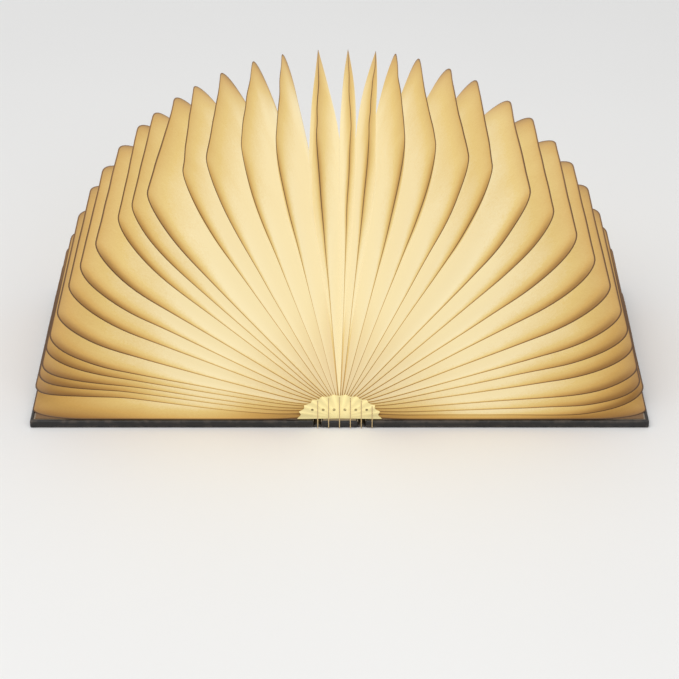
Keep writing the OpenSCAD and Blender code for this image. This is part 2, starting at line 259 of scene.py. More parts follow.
def rub_group():
    """Wear along the outer edges of a block between two corners."""
    group, given, out = new_group(
        "rubbed_edges",
        [("Low Corner", "NodeSocketVector", (0, 0, 0)),
         ("High Corner", "NodeSocketVector", (1, 1, 1)),
         ("Width", "NodeSocketFloat", 0.002)],
        [("Wear", "NodeSocketFloat")])
    place = own_place(group)

    def vector(operation, *values):
        return node(group, "ShaderNodeVectorMath", dict(enumerate(values)),
                    operation=operation).outputs[0]

    from_low = vector("SUBTRACT", place, given.outputs["Low Corner"])
    from_high = vector("SUBTRACT", given.outputs["High Corner"], place)
    near = vector("MINIMUM", from_low, from_high)
    parts = node(group, "ShaderNodeSeparateXYZ", {0: near}).outputs
    close = [calc(group, "SUBTRACT", 1.0, calc(group, "DIVIDE", part, given.outputs["Width"]),
                  clamp=True) for part in parts]
    pairs = [calc(group, "MULTIPLY", close[a], close[b]) for a, b in ((0, 1), (1, 2), (0, 2))]
    along = calc(group, "ADD", calc(group, "ADD", pairs[0], pairs[1]), pairs[2])
    patchy = step_between(group, cloud(group, place, 140.0, 4.0, 0.5), 0.42, 0.68)
    group.links.new(calc(group, "MULTIPLY", along, patchy, clamp=True), out.inputs["Wear"])
    return group


def weave_group():
    """A plain weave: a shade round 1 and a height for the bump."""
    group, given, out = new_group(
        "plain_weave", [("Thread", "NodeSocketFloat", 0.0007)],
        [("Shade", "NodeSocketFloat"), ("Height", "NodeSocketFloat")])
    parts = node(group, "ShaderNodeSeparateXYZ", {0: own_place(group)}).outputs
    turns = calc(group, "DIVIDE", math.pi, given.outputs["Thread"])
    waves = [calc(group, "SINE", calc(group, "MULTIPLY", part, turns)) for part in parts]
    lengthwise = calc(group, "MULTIPLY", waves[0], waves[2])
    crossed = calc(group, "MULTIPLY", calc(group, "ADD", lengthwise, waves[1]), 0.5)
    group.links.new(calc(group, "ADD", calc(group, "MULTIPLY", crossed, 0.08), 1.0),
                    out.inputs["Shade"])
    group.links.new(crossed, out.inputs["Height"])
    return group


FIBRES, GRAIN, RUB, WEAVE = fibre_group(), grain_group(), rub_group(), weave_group()


# ---- finishes ----

def finish_of(name, roughness=0.6, metallic=0.0, **sockets):
    """A material with its Principled shader, whose constant values are set on it."""
    made = bpy.data.materials.new(name)
    made.use_nodes = True
    shader = made.node_tree.nodes["Principled BSDF"]
    shader.inputs["Roughness"].default_value = roughness
    shader.inputs["Metallic"].default_value = metallic
    for key, value in sockets.items():
        shader.inputs[key.replace("_", " ")].default_value = value
    return made, made.node_tree, shader


def bump(tree, shader, height, depth, strength=0.5):
    made = node(tree, "ShaderNodeBump", {"Height": height, "Distance": depth,
                                         "Strength": strength})
    tree.links.new(made.outputs[0], shader.inputs["Normal"])


def shaded(tree, colour, shade):
    """A colour made lighter or darker by a shade round 1."""
    grey = node(tree, "ShaderNodeCombineColor", {0: shade, 1: shade, 2: shade}).outputs[0]
    return tint(tree, 1.0, colour, grey, "MULTIPLY")


# The colours of the painted light on the pages, from the deepest painted shade to the brightest
# glow.
GLOW_STOPS = (
    (0.0, (0.040, 0.016, 0.006, 1)),
    (0.2, (0.15, 0.070, 0.020, 1)),
    (0.42, (0.38, 0.200, 0.055, 1)),
    (0.66, (0.66, 0.42, 0.130, 1)),
    (0.86, (0.81, 0.62, 0.255, 1)),
    (1.0, (0.93, 0.815, 0.52, 1)),
)


def lit_page_paper():
    """Paper with its light from the spine painted in as a glow: bright inside, with painted shade
    at the folds and the outer corners.
    """
    made, tree, shader = finish_of("lit_page_paper", 0.62, Emission_Strength=0.62)
    fold = node(tree, "ShaderNodeUVMap", uv_map="fold").outputs[0]
    parts = node(tree, "ShaderNodeSeparateXYZ", {0: fold}).outputs
    depth, reach = calc(tree, "MULTIPLY", parts[0], FOLD_MAP_SPAN / MM), parts[1]
    lengthwise = node(tree, "ShaderNodeAttribute", attribute_name="long_edge").outputs["Fac"]
    level = node(tree, "ShaderNodeAttribute", attribute_name="page_glow").outputs["Fac"]
    outward = calc(tree, "POWER", reach, 3.0)

    # Painted shade in a band beside the fold, broader outwards, and a narrower painted crease shade
    # in it.
    near_edge = calc(tree, "SUBTRACT", 1.0, lengthwise)
    spread = calc(tree, "MULTIPLY_ADD", outward, 7.0, 1.4)
    band_shade = calc(tree, "ADD", 0.16, calc(tree, "MULTIPLY", outward,
                calc(tree, "MULTIPLY_ADD", near_edge, 0.34, 0.06)))
    fade = calc(tree, "EXPONENT", calc(tree, "MULTIPLY", calc(tree, "DIVIDE", depth, spread), -1.0))
    crease_shade_strength = calc(tree, "MULTIPLY", outward, calc(tree, "MULTIPLY_ADD", near_edge, 0.32, 0.06))
    crease_shade = calc(tree, "MULTIPLY", crease_shade_strength,
                  calc(tree, "EXPONENT", calc(tree, "MULTIPLY", depth, -0.5)))
    body = calc(tree, "SUBTRACT", calc(tree, "SUBTRACT", 1.0, crease_shade),
                calc(tree, "MULTIPLY", band_shade, fade))
    # A thin line of painted shade on the fold itself, fainter towards the far end.
    far_side = node(tree, "ShaderNodeSeparateXYZ", {0: own_place(tree)}).outputs[1]
    at_hub = step_between(tree, reach, 0.12, 0.4, 0.50, 0.30)
    fold_line_shade = calc(tree, "MULTIPLY",
                     calc(tree, "MULTIPLY_ADD", calc(tree, "POWER", reach, 2.0), 0.50, at_hub),
                     step_between(tree, far_side, -0.03, 0.09, 1.0, 0.6))
    line = calc(tree, "SUBTRACT", 1.0,
                calc(tree, "MULTIPLY", fold_line_shade, step_between(tree, depth, 0.4, 1.15, 1.0, 0.0)))
    # Painted shade at the outer edge.
    outer = step_between(tree, reach, 0.80, 1.03, 1.0, 0.90)
    fibres = use_group(tree, FIBRES, {"Fineness": 420.0, "Contrast": 0.08}).outputs
    glow = calc(tree, "MULTIPLY", calc(tree, "MULTIPLY", body, line),
                calc(tree, "MULTIPLY", outer, calc(tree, "MULTIPLY", level, fibres["Shade"])))
    # The painted light takes its colour from the glow stops and is emitted; a dimmer copy of it is
    # the base colour.
    ramp = node(tree, "ShaderNodeValToRGB", {"Fac": glow})
    stops = ramp.color_ramp.elements
    stops[0].position, stops[0].color = GLOW_STOPS[0]
    stops[1].position, stops[1].color = GLOW_STOPS[-1]
    for place, colour in GLOW_STOPS[1:-1]:
        stops.new(place).color = colour
    tree.links.new(ramp.outputs[0], shader.inputs["Emission Color"])
    tree.links.new(shaded(tree, ramp.outputs[0], 0.38), shader.inputs["Base Color"])
    bump(tree, shader, fibres["Height"], 0.00012, 0.35)
    return made


def gathered_paper():
    """The cream ends where the folds are gathered, with a soft painted glow from behind, and
    painted shade round the punched holes and in the pleats' grooves."""
    made, tree, shader = finish_of("gathered_paper", 0.6, Emission_Strength=0.62)
    fibres = use_group(tree, FIBRES, {"Fineness": 380.0, "Contrast": 0.06}).outputs
    place = node(tree, "ShaderNodeSeparateXYZ", {0: own_place(tree)}).outputs
    foot = step_between(tree, place[2], 4 * MM, 13 * MM, 0.86, 1.05)
    # Painted shade in the pleats' grooves.
    groove_shade = node(tree, "ShaderNodeAttribute", attribute_name="groove_shade").outputs["Fac"]
    pleat = calc(tree, "MULTIPLY_ADD", groove_shade, -0.22, 1.0)
    # Painted shade round the punched thread holes.
    across = calc(tree, "WRAP", calc(tree, "ADD", place[0], THREAD_PITCH / 2),
                  THREAD_PITCH / 2, -THREAD_PITCH / 2)
    rise = calc(tree, "SUBTRACT", place[2], FOLD_END_FOOT + HOLE_RISE)
    from_hole = calc(tree, "SQRT", calc(tree, "ADD", calc(tree, "MULTIPLY", across, across),
                                        calc(tree, "MULTIPLY", rise, rise)))
    past_holes = step_between(tree, calc(tree, "ABSOLUTE", place[0]),
                              HOLE_SPAN, HOLE_SPAN + 1 * MM)
    hole_shade = calc(tree, "MAXIMUM", past_holes,
                    step_between(tree, from_hole, 0.5 * MM, 1.2 * MM, 0.25, 1.0))
    shade = calc(tree, "MULTIPLY", calc(tree, "MULTIPLY", foot, fibres["Shade"]),
                 calc(tree, "MULTIPLY", pleat, hole_shade))
    colour = shaded(tree, (0.90, 0.76, 0.36, 1), shade)
    tree.links.new(colour, shader.inputs["Emission Color"])
    tree.links.new(shaded(tree, colour, 0.55), shader.inputs["Base Color"])
    bump(tree, shader, fibres["Height"], 0.00012, 0.4)
    return made


def bookbinding_cloth(low, high):
    """Black grained cover cloth, paler where its edges are rubbed."""
    made, tree, shader = finish_of("bookbinding_cloth", 0.5)
    grain = use_group(tree, GRAIN, {"Fineness": 1100.0}).outputs
    wear = use_group(tree, RUB, {"Low Corner": low, "High Corner": high,
                                 "Width": 0.0022}).outputs["Wear"]
    black = shaded(tree, (0.006, 0.005, 0.0045, 1), grain["Shade"])
    tree.links.new(tint(tree, wear, black, (0.075, 0.06, 0.048, 1)), shader.inputs["Base Color"])
    tree.links.new(calc(tree, "MULTIPLY_ADD", wear, 0.25, 0.46), shader.inputs["Roughness"])
    bump(tree, shader, grain["Height"], 0.0002, 0.5)
    return made


def paper_or_board(name, colour, fineness, contrast, roughness, depth):
    made, tree, shader = finish_of(name, roughness)
    fibres = use_group(tree, FIBRES, {"Fineness": fineness, "Contrast": contrast}).outputs
    tree.links.new(shaded(tree, colour, fibres["Shade"]), shader.inputs["Base Color"])
    bump(tree, shader, fibres["Height"], depth, 0.5)
    return made


def woven(name, colour, thread, roughness, **sockets):
    made, tree, shader = finish_of(name, roughness, **sockets)
    weave = use_group(tree, WEAVE, {"Thread": thread}).outputs
    fibres = use_group(tree, FIBRES, {"Fineness": 700.0, "Contrast": 0.06}).outputs
    shade = calc(tree, "MULTIPLY", weave["Shade"], fibres["Shade"])
    tree.links.new(shaded(tree, colour, shade), shader.inputs["Base Color"])
    bump(tree, shader, weave["Height"], 0.00015, 0.6)
    return made


def hard_finish(name, colour, roughness, metallic=0.0, fineness=260.0, depth=0.00004, **sockets):
    """Plastic, metal or lacquer with a slightly uneven tone and gloss."""
    made, tree, shader = finish_of(name, roughness, metallic, **sockets)
    place = own_place(tree)
    tone = step_between(tree, cloud(tree, place, 60.0, 3.0), 0.3, 0.7, 0.93, 1.05)
    fine = cloud(tree, place, fineness, 4.0, 0.3)
    tree.links.new(shaded(tree, colour, tone), shader.inputs["Base Color"])
    tree.links.new(step_between(tree, fine, 0.3, 0.7, roughness * 0.85, roughness * 1.2),
                   shader.inputs["Roughness"])
    bump(tree, shader, fine, depth, 0.3)
    return made


# ---- pages ----

# How unevenly a page lies, in millimetres: how far its outer edge leans to the middle of the
# fan at the near and at the far end, and how far its near edge is bowed up.
PAGE_SET = {
    ("left", 1): (1, 0, 9), ("left", 2): (2, 2, 7.5), ("left", 3): (1, 1, 5.5),
    ("left", 4): (0, 0, 1.5),
    ("left", 5): (-4, -4, 0), ("left", 7): (3, 3, 0), ("left", 9): (3, 4, 0),
    ("left", 10): (8, 8, 0), ("left", 12): (-6, 0, 0), ("left", 13): (4, -1, 0),
    ("right", 1): (0, 0, -2), ("right", 2): (-3, -3, 0), ("right", 3): (-4, -4, 0),
    ("right", 6): (-5, -5, 0), ("right", 10): (5, 4, 0), ("right", 12): (9, 8, 0),
    ("right", 13): (4, 7, 0), ("right", 14): (3, 7, 0), ("right", 15): (4, 5, 0),
    ("right", 16): (6, -1, 0),
}
# The last pages of the left side are slimmer at their far ends.
FIRST_SLIM_PAGE = 13
# Valleys that fold in deeper than the others: how much deeper, and how far to the side.
DEEP_VALLEYS = {("left_page_14", "left_page_13"): (6 * MM, -1 * MM),
                ("left_page_15", "left_page_14"): (18 * MM, -3 * MM),
                ("left_page_16", "left_page_15"): (22 * MM, -5 * MM),
                ("left_page_17", "left_page_16"): (17 * MM, -4 * MM)}
# Such a valley has its whole depth from this far out of the gathered ends.
DEEP_RUN = 60 * MM
# Half-way up the fan the pages lean this far from its middle at the near end, and this far to
# it at the far end, so that the fan opens a little wider at its near end.
NEAR_SPREAD = 3.5 * MM
FAR_SPREAD = 3.5 * MM
RIM_SEARCH_STEP = 0.1 * MM


def ease(share):
    """Rises smoothly from 0 to 1, and stays level outside that."""
    share = max(0.0, min(1.0, share))
    return share * share * (3 - 2 * share)


def settle(share):
    """Rises fast and then levels out."""
    return 1 - (1 - max(0.0, min(1.0, share))) ** 2


def page_row(side, number):
    """A page's root, direction in the fan, reach and where it leaves the gathered ends."""
    name = f"{side}_page_{number:02d}"
    joint = next(j for j in frame["joints"] if j["name"] == name + "_fold")
    root_x, _, root_z = joint["pos_m"]
    lean = math.radians(90 - joint["range_deg"][1])
    low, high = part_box(name)
    outer_x = high.x if side == "right" else low.x
    turn = lean if side == "right" else math.pi - lean
    reach = math.hypot(outer_x - root_x, high.z - root_z) + PAGE_OVERHANG
    rim = 0.0
    while rim < FOLD_END_HALF:
        x = (root_x + rim * math.cos(turn)) / FOLD_END_HALF
        z = (root_z + rim * math.sin(turn) - FOLD_END_FOOT) / FOLD_END_HEIGHT
        if x * x + z * z > 1:
            break
        rim += RIM_SEARCH_STEP
    rim = max(0.0, rim - RIM_TUCK)
    return {"name": name, "side": side, "root": Vector((root_x, 0, root_z)),
            "along": Vector((math.cos(turn), 0, math.sin(turn))),
            "normal": Vector((-math.sin(turn), 0, math.cos(turn))),
            "reach": reach, "rim": rim, "key": number + (0 if side == "right" else 40),
            "middle": 1 if side == "right" else -1,
            "far_puff": SLIM_PUFF if side == "left" and number > FIRST_SLIM_PAGE else LEAF_PUFF,
            "height": (number - 1) / (PAGE_COUNT - 1),
            "set": [size * MM for size in PAGE_SET.get((side, number), (0, 0, 0))]}


def waviness(page, u, v):
    """How far the paper of a page strays from flat, more towards its outer edges."""
    share = max(0.0, min(1.0, u / page["reach"]))
    near_lean, far_lean, bow = page["set"]
    spread = math.sin(math.pi * page["height"])
    near_lean, far_lean = near_lean - NEAR_SPREAD * spread, far_lean + FAR_SPREAD * spread
    far_share = (v + PAGE_HALF) / (2 * PAGE_HALF)
    lean = (near_lean + (far_lean - near_lean) * ease(far_share)) * share
    bowed = bow * math.sin(math.pi * share ** 2.2) * (1 - ease(far_share * 1.4))
    broad = noise.noise(Vector((u * 14, v * 11, page["key"] * 3.7)))
    fine = noise.noise(Vector((u * 40, v * 40, page["key"] * 5.1)))
    return page["middle"] * (lean + bowed) + share * share * MM * (1.3 * broad + 0.6 * fine)


def on_page(page, u, v):
    """The point of a page u out from its root and v along the spine."""
    n = waviness(page, u, v)
    return page["root"] + page["along"] * u + page["normal"] * n + Vector((0, v, 0))


def half_path(page, corner):
    """Ridge and valley points (u, v) from a page's root to the middle of its long edge,
    each with its share of the long edge."""
    start, reach = page["rim"], page["reach"]
    run, drop = corner
    edge = FOLD_END_FACE - RIDGE_INSET
    shallow = edge - VALLEY_INSET
    valley_turn = reach - VALLEY_DEPTH - VALLEY_ROUND
    half = []
    for k in range(NEAR_STEPS):
        t = k / NEAR_STEPS
        u = start + (reach - run - start) * t
        ridge_v = edge + (PAGE_HALF - edge) * settle((u - start) / RIM_RUN)
        valley_v = shallow + (VALLEY_END - shallow) * settle(t / 0.75)
        half.append(((u, ridge_v), (start + (valley_turn - start) * t, valley_v), 0.0))
    for k in range(CORNER_STEPS + 1):
        t = k / CORNER_STEPS
        a = math.pi / 2 * t
        half.append(((reach - run * (1 - math.sin(a)), PAGE_HALF - drop * (1 - math.cos(a))),
                     (valley_turn + VALLEY_ROUND * t, VALLEY_END - VALLEY_DRAW * t), ease(t)))
    for k in range(1, LONG_STEPS + 1):
        t = k / LONG_STEPS
        half.append(((reach, (PAGE_HALF - drop) * (1 - t)),
                     (valley_turn + VALLEY_ROUND, (VALLEY_END - VALLEY_DRAW) * (1 - t)), 1.0))
    return half


def fold_path(page, near_corner=NEAR_CORNER, far_corner=FAR_CORNER):
    """The whole way round a page, from its near root to its far root."""
    near = [((r[0], -r[1]), (v[0], -v[1]), w) for r, v, w in half_path(page, near_corner)]
    return near + half_path(page, far_corner)[-2::-1]


def page_glow(page, share, v):
    """How brightly a page is lit: darker towards its far tip, and the lowest pages are also
    darker towards their outer edges and their roots."""
    height = page["height"]
    tip = ease((v / PAGE_HALF - 0.45) / 0.55) * ease((share - 0.7) / 0.3)
    low = max(0.0, 1 - height / 0.55)
    foot = max(0.0, 1 - height / 0.25) * (1 - ease(share / 0.45))
    level = PAGE_GLOW + TOP_GAIN * height ** 2 + PAGE_UNEVENNESS * math.sin(page["key"] * 2.4)
    level *= 1 + MIDDLE_GAIN * math.exp(-((share - 0.45) / 0.22) ** 2)
    level *= 1 - HIGH_EDGE_DIM * height * ease((share - 0.6) / 0.35)
    level *= 1 - LOW_EDGE_DIM * low * share ** 4
    return level * (1 - FAR_TIP_DIM * tip) * (1 - FOOT_DIM * foot)


def fold_grid(x_segments, y_segments):
    """A flat grid with the layers that the lit paper reads: fold map, long edge and glow."""
    bm = bmesh.new()
    bmesh.ops.create_grid(bm, x_segments=x_segments, y_segments=y_segments, size=1.0)
    uv = bm.loops.layers.uv.new("fold")
    lengthwise = bm.verts.layers.float.new("long_edge")
    glow = bm.verts.layers.float.new("page_glow")
    return bm, uv, lengthwise, glow


def lay_fold_map(bm, uv, place_of):
    """Smooth faces, whose corners have their vertices' places on the fold map."""
    for face in bm.faces:
        face.smooth = True
        for loop in face.loops:
            loop[uv].uv = place_of[loop.vert]


def thicken(piece, name, thickness, offset=-1.0):
    wall = piece.modifiers.new(name, "SOLIDIFY")
    wall.thickness, wall.offset = thickness, offset


def page_sheet(page, below, above, paper):
    """A page's two leaves, from the valley below it over its ridge to the valley above it."""
    paths = {p["name"]: fold_path(p) for p in (page, below, above) if p}
    path = paths[page["name"]]
    rows = len(path)
    columns = 2 * LEAF_STEPS + 1

    def valley(other, station):
        """A valley's point as this page's own u and v, and in space."""
        u, v = path[station][1]
        if other is None:
            mine = on_page(page, u, v)
            return u, v, Vector((mine.x, mine.y, ENDPAPER_TOP + PASTE_LEVEL))
        pair = (page["name"], other["name"])
        deeper, aside = DEEP_VALLEYS.get(pair, DEEP_VALLEYS.get(pair[::-1], (0.0, 0.0)))
        u_there, v_there = paths[other["name"]][station][1]
        full = settle((u - page["rim"]) / DEEP_RUN)
        sunk = deeper * full
        deep = (on_page(page, u - sunk, v) + on_page(other, u_there - sunk, v_there)) / 2
        if other["side"] != page["side"]:
            deep.x = 0.0
        deep.x += aside * ease(v / VALLEY_END) * full
        return u - sunk, v, deep

    bm, uv, lengthwise, glow = fold_grid(rows - 1, columns - 1)
    place_of, ridge = {}, set()
    for vert in bm.verts:
        station = round((vert.co.x + 1) / 2 * (rows - 1))
        column = round((vert.co.y + 1) / 2 * (columns - 1)) - LEAF_STEPS
        q = (abs(column) / LEAF_STEPS) ** 1.5
        (ru, rv), _, share = path[station]
        other = above if column > 0 else below
        vu, vv, deep = valley(other, station)
        u, v = ru + (vu - ru) * q, rv + (vv - rv) * q
        puff = LEAF_PUFF + (page["far_puff"] - LEAF_PUFF) * ease(rv / PAGE_HALF - 0.1)
        lift = 1 - (1 - q) ** puff
        vert.co = on_page(page, u, v) + (deep - on_page(page, vu, vv)) * lift
        vert[lengthwise] = share
        faces_middle = (column > 0) == (page["side"] == "right")
        share_out = u / page["reach"]
        # Painted shade on a leaf that faces its cover, deepest at its root.
        lower = LOWER_LEAF_GLOW - HUB_DIM * (1 - ease(share_out / 0.42))
        # Painted shade beside the near corners, weaker on the high pages.
        corner_shade = (math.exp(-((share_out - 0.9) / 0.2) ** 2 - (q / 0.09) ** 2)
                         * ease(-v / PAGE_HALF * 4 - 2.4) * (1.0 if faces_middle else 0.4))
        corner_dim = CORNER_DIM * (1 - 0.6 * ease(page["height"] * 3 - 1.5))
        vert[glow] = (page_glow(page, share_out, v) * (1.0 if faces_middle else lower)
                      * (1 - corner_dim * corner_shade))
        place_of[vert] = (q * math.hypot(vu - ru, vv - rv) / FOLD_MAP_SPAN, share_out)
        if column == 0:
            ridge.add(vert)
    lay_fold_map(bm, uv, place_of)
    for edge in bm.edges:
        if edge.verts[0] in ridge and edge.verts[1] in ridge:
            edge.smooth = False
    bm.normal_update()
    outward = sum(f.calc_area() * f.normal.dot(page["normal"])
                  * math.copysign(1, (f.calc_center_median() - page["root"]).dot(page["normal"]))
                  for f in bm.faces)
    if outward < 0:
        bmesh.ops.reverse_faces(bm, faces=bm.faces)
    piece = piece_from(bm, page["name"] + "_paper", paper)
    thicken(piece, "paper", PAPER)
    return piece


def pasted_leaf(page, paper):
    """The first leaf of the folds, pasted on the cover, with its outer edge as the last ridge."""
    side = page["side"]
    sign = 1 if side == "right" else -1
    level = ENDPAPER_TOP + PASTED_RISE
    flat = dict(page, root=Vector((page["root"].x, 0, level)), along=Vector((sign, 0, 0)),
                reach=COVER_REACH - abs(page["root"].x) - PASTED_MARGIN)
    path = fold_path(flat, PASTED_CORNER, PASTED_CORNER)
    bm, uv, lengthwise, glow = fold_grid(len(path) - 1, LEAF_STEPS)
    place_of = {}
    for vert in bm.verts:
        (ru, rv), (vu, vv), share = path[round((vert.co.x + 1) / 2 * (len(path) - 1))]
        q = ((vert.co.y + 1) / 2) ** 1.5
        vu, vv = vu - PASTED_DRAW * q, vv * (1 - 0.1 * q)
        u, v = ru + (vu - ru) * q, rv + (vv - rv) * q
        share_out = u / flat["reach"]
        vert.co = flat["root"] + flat["along"] * u + Vector((0, v, 0))
        vert[lengthwise] = share
        vert[glow] = ((PASTED_GLOW - PASTED_LEAF_DIM * ease((share_out - 0.35) / 0.65))
                      * (1 - FOOT_DIM * (1 - ease(share_out / 0.45)))
                      * (1 - PASTED_CORNER_DIM * ease((-v / PAGE_HALF - 0.75) / 0.25)))
        place_of[vert] = (q * math.hypot(vu - ru, vv - rv) / FOLD_MAP_SPAN, share_out)
    lay_fold_map(bm, uv, place_of)
    face_up(bm)
    piece = piece_from(bm, f"{side}_pasted_leaf", paper)
    thicken(piece, "paper", PAPER)
    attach(piece, f"{side}_cover")


def face_up(bm):
    """Turns an open sheet so that its faces look up."""
    bm.normal_update()
    if sum(face.normal.z for face in bm.faces) < 0:
        bmesh.ops.reverse_faces(bm, faces=bm.faces)


def piece_from(bm, name, material):
    mesh = bpy.data.meshes.new(name)
    bm.to_mesh(mesh)
    bm.free()
    mesh.materials.append(material)
    piece = bpy.data.objects.new(name, mesh)
    bpy.context.scene.collection.objects.link(piece)
    return piece


def make_pages(paper):
    fan = [page_row("right", n) for n in range(1, PAGE_COUNT + 1)]
    fan += [page_row("left", n) for n in range(PAGE_COUNT, 0, -1)]
    for place, page in enumerate(fan):
        before = fan[place - 1] if place > 0 else None
        after = fan[place + 1] if place + 1 < len(fan) else None
        piece = page_sheet(page, before, after, paper)
        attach(piece, page["name"])
        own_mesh(piece)
        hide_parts(page["name"], "valley_folds")
    for page in (fan[0], fan[-1]):
        pasted_leaf(page, paper)


# ---- covers and spine ----

def wrap(name, low, high, lip, material):
    """Cloth wrapped round a board, turned in along the top by a lip."""
    bm = bmesh.new()
    bmesh.ops.create_cube(bm, size=1.0)
    size, middle = high - low, (high + low) / 2
    bmesh.ops.scale(bm, vec=size, verts=bm.verts)
    bmesh.ops.translate(bm, vec=middle, verts=bm.verts)
    outer = list(bm.edges)
    top = max(bm.faces, key=lambda f: f.calc_center_median().z)
    bmesh.ops.inset_region(bm, faces=[top], thickness=lip)
    bmesh.ops.delete(bm, geom=[top], context="FACES_ONLY")
    bmesh.ops.bevel(bm, geom=outer, offset=COVER_EDGE_ROUND, segments=3, profile=0.5,
                    affect="EDGES", material=-1)
    for face in bm.faces:
        face.smooth = True
    piece = piece_from(bm, name, material)
    thicken(piece, "cloth", COVER_CLOTH)
    return piece


def make_covers():
    for side in SIDES:
        low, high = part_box(f"{side}_cover_cloth")
        high.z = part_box(f"{side}_endpaper")[1].z - 0.05 * MM
        cloth = bookbinding_cloth(low, high)
        piece = wrap(f"{side}_cover_wrap", low, high, 2.8 * MM, cloth)
        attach(piece, f"{side}_cover")
        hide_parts(f"{side}_cover_cloth")
    low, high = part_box("spine_cloth")
    piece = wrap("spine_wrap", low, high, 0.8 * MM, bookbinding_cloth(low, high))
    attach(piece, "spine")
    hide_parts("spine_cloth")


def make_hinge_cloths():
    """The cloth of the two joints, pressed into a groove between the boards."""
    for side in SIDES:
        low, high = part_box(f"{side}_hinge_cloth")
        bm = bmesh.new()
        bmesh.ops.create_grid(bm, x_segments=10, y_segments=40, size=0.5)
        for vert in bm.verts:
            across = vert.co.x + 0.5
            vert.co = Vector((low.x + (high.x - low.x) * across,
                              vert.co.y * (high.y - low.y) * 0.995,
                              JOINT_RISE + JOINT_GROOVE * math.sin(math.pi * across)))
        for face in bm.faces:
            face.smooth = True
        piece = piece_from(bm, f"{side}_joint_cloth", bookbinding_cloth(low, high))
        thicken(piece, "cloth", JOINT_CLOTH, offset=1.0)
        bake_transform(piece)
        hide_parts(f"{side}_hinge_cloth")


# ---- gathered ends and threads ----

def hole_pins(side, y, z):
    """Pins that punch one half's thread holes."""
    bm = bmesh.new()
    for k in range(THREAD_COUNT):
        x = (k - (THREAD_COUNT - 1) / 2) * THREAD_PITCH
        if (x < 0) == (side == "left"):
            spot = Matrix.Translation((x, y, z)) @ Matrix.Rotation(math.pi / 2, 4, "X")
            bmesh.ops.create_cone(bm, cap_ends=True, segments=16, radius1=HOLE_RADIUS,
                                  radius2=HOLE_RADIUS, depth=CUTTER_LENGTH, matrix=spot)
    return bm


def socket_block(y, low, high):
    """The charging socket's opening."""
    bm = bmesh.new()
    bmesh.ops.create_cube(bm, size=1.0)
    size = Vector((high.x - low.x + SOCKET_PLAY, CUTTER_LENGTH, high.z - low.z + SOCKET_PLAY))
    bmesh.ops.scale(bm, vec=size, verts=bm.verts)
    bmesh.ops.translate(bm, vec=((low.x + high.x) / 2, y, (low.z + high.z) / 2), verts=bm.verts)
    bmesh.ops.bevel(bm, geom=[e for e in bm.edges
                              if abs(e.verts[0].co.y - e.verts[1].co.y) > 1 * MM],
                    offset=size.z * 0.49, segments=6, profile=0.5, affect="EDGES", material=-1)
    return bm


def cut_out(piece, bm):
    """Cuts a shape out of a piece, whose mesh is then the cut one."""
    cutter = piece_from(bm, "cutter", piece.data.materials[0])
    cut = piece.modifiers.new("cut", "BOOLEAN")
    cut.operation, cut.solver, cut.object = "DIFFERENCE", "EXACT", cutter
    bpy.context.view_layer.update()
    done = piece.evaluated_get(bpy.context.evaluated_depsgraph_get())
    mesh = bpy.data.meshes.new_from_object(done)
    piece.modifiers.clear()
    piece.data = mesh
    bpy.data.objects.remove(cutter)


def fold_end_half(end, side, material):
    """Half of a gathered end: radiating pleats, a pointed rim and punched thread holes."""
    front = -1 if end == "near" else 1
    flip = 1 if side == "right" else -1
    bm = bmesh.new()
    turns, rings = 66, 8
    bmesh.ops.create_grid(bm, x_segments=turns, y_segments=rings, size=0.5)
    groove_shade = bm.verts.layers.float.new("groove_shade")
    for vert in bm.verts:
        a = (vert.co.x + 0.5) * math.pi / 2
        r = vert.co.y + 0.5
        pleat = abs(math.sin(a * SCALLOPS))
        grow = r * (1 - 0.07 * pleat * ease((r - 0.55) / 0.45))
        relief = PLEAT_RELIEF * (1 - pleat) * ease(r)
        # How far into a pleat's groove a point lies, where the gathered paper paints shade.
        vert[groove_shade] = pleat * ease(r)
        vert.co = Vector((flip * FOLD_END_HALF * math.cos(a) * grow,
                          front * (FOLD_END_FACE - PLEAT_RELIEF + relief),
                          FOLD_END_FOOT + FOLD_END_HEIGHT * math.sin(a) * grow))
    bmesh.ops.remove_doubles(bm, verts=bm.verts, dist=0.01 * MM)
    back = bmesh.ops.extrude_face_region(bm, geom=list(bm.faces))["geom"]
    bmesh.ops.translate(bm, vec=(0, -front * FOLD_END_WALL, 0),
                        verts=[g for g in back if isinstance(g, bmesh.types.BMVert)])
    bmesh.ops.recalc_face_normals(bm, faces=bm.faces)
    piece = piece_from(bm, f"{end}_fold_end_{side}", material)
    cut_out(piece, hole_pins(side, front * FOLD_END_FACE, FOLD_END_FOOT + HOLE_RISE))
    if end == "far":
        cut_out(piece, socket_block(FOLD_END_FACE, *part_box("charge_socket")))
    return piece


def make_fold_ends(material):
    for end in ("near", "far"):
        for side in SIDES:
            piece = fold_end_half(end, side, material)
            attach(piece, "spine")
            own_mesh(piece)
            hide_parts(f"{end}_fold_end")


